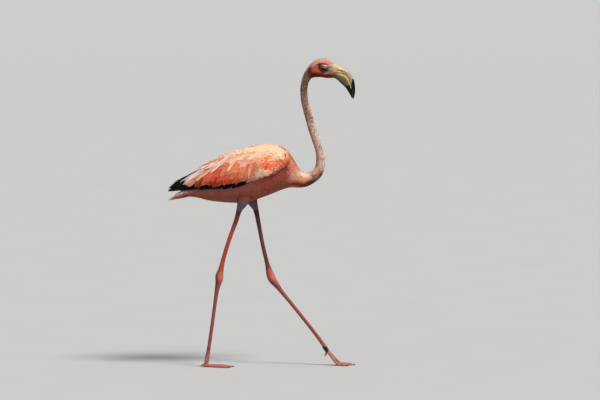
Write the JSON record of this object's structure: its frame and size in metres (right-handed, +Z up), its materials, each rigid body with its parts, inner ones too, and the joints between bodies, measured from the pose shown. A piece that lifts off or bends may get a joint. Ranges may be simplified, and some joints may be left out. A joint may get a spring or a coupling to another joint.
{
  "type": "american flamingo model",
  "caption": "Still life-size model of an adult-plumaged American flamingo in mid stride, neck raised in an S curve, wings folded, standing on both webbed feet.",
  "frame": {"origin": "on the floor, at the centre of the bounding box of the bird seen from above", "axes": "+Z up; +X the way the bird faces and walks; +Y towards the bird's left side"},
  "size_m": [0.6018, 0.1734, 0.9869],
  "materials": {
    "body_plumage": "soft peach and salmon contour feathers, duskier pink below",
    "neck_plumage": "short dense pinkish white feathers mottled with grey brown",
    "wing_plumage": "orange and salmon coverts with pale edges",
    "flight_feathers": "black vanes with a faint satin sheen",
    "tail_plumage": "pinkish white vanes",
    "leg_skin": "scaled reddish pink skin, darker at the joints",
    "claw_horn": "dark horn",
    "bill_horn": "smooth cream and olive yellow horn with a black tip",
    "eye": "glossy, pale yellow iris with a small black pupil"
  },
  "bodies": {
    "root": {"trunk": "body_plumage", "tail": "tail_plumage", "neck_lower": "neck_plumage", "neck_middle": "neck_plumage", "neck_upper": "neck_plumage", "head": "neck_plumage", "eye_left": "eye", "eye_right": "eye", "bill_upper": "bill_horn", "bill_lower": "bill_horn", "wing_left": "wing_plumage", "wing_right": "wing_plumage", "primaries_left": "flight_feathers", "primaries_right": "flight_feathers", "thigh_right": "body_plumage", "shin_right": "leg_skin", "tarsus_right": "leg_skin", "foot_right": "leg_skin", "claw_inner_right": "claw_horn", "claw_middle_right": "claw_horn", "claw_outer_right": "claw_horn", "thigh_left": "body_plumage", "shin_left": "leg_skin", "tarsus_left": "leg_skin", "foot_left": "leg_skin", "claw_inner_left": "claw_horn", "claw_middle_left": "claw_horn", "claw_outer_left": "claw_horn"}
  },
  "joints": []
}
